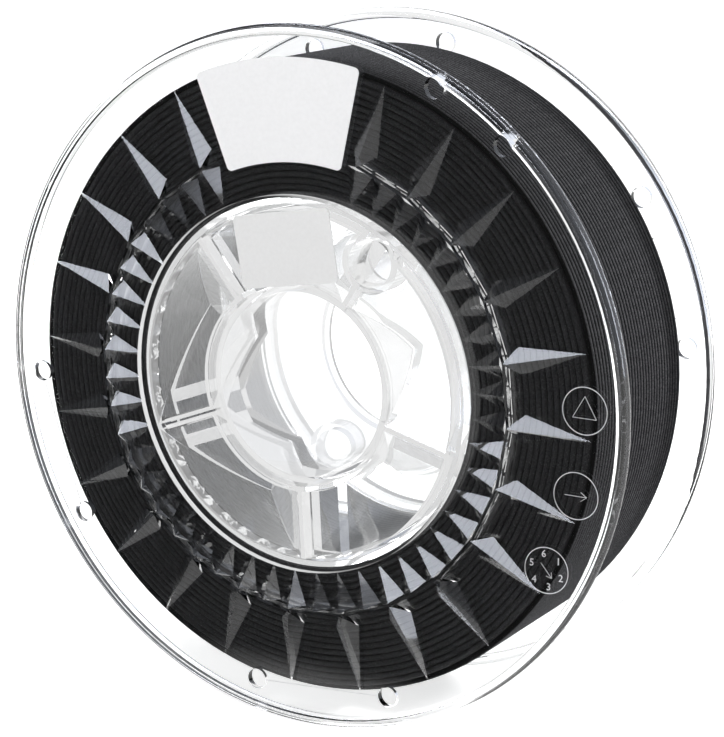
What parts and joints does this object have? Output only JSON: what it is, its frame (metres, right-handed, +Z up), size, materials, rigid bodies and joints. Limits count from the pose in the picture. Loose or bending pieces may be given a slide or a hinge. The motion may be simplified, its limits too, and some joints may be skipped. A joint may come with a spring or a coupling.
{
  "type": "filament spool",
  "caption": "Clear plastic spool with two sunburst-ribbed flanges and a wide spindle bore, holding a full winding of black 3D-printer filament.",
  "frame": {"origin": "middle of the spindle bore, on its axis", "axes": "+Z up, +Y along the bore from the front flange to the rear one, +X to the right seen from the front"},
  "size_m": [0.2, 0.0662, 0.2],
  "materials": {
    "clear_front": "clear polished moulded polystyrene",
    "clear_rear": "clear polished moulded polystyrene",
    "filament_inner": "matt black fibre-filled filament",
    "filament": "matt black fibre-filled filament",
    "label_paper": "white satin label paper, bare",
    "tag_paper": "white label paper, bare"
  },
  "bodies": {
    "root": {"front_half": "clear_front", "rear_half": "clear_rear", "filament_core": "filament_inner", "filament_outer_layer": "filament", "main_label": "label_paper", "hub_label": "tag_paper"}
  },
  "joints": []
}
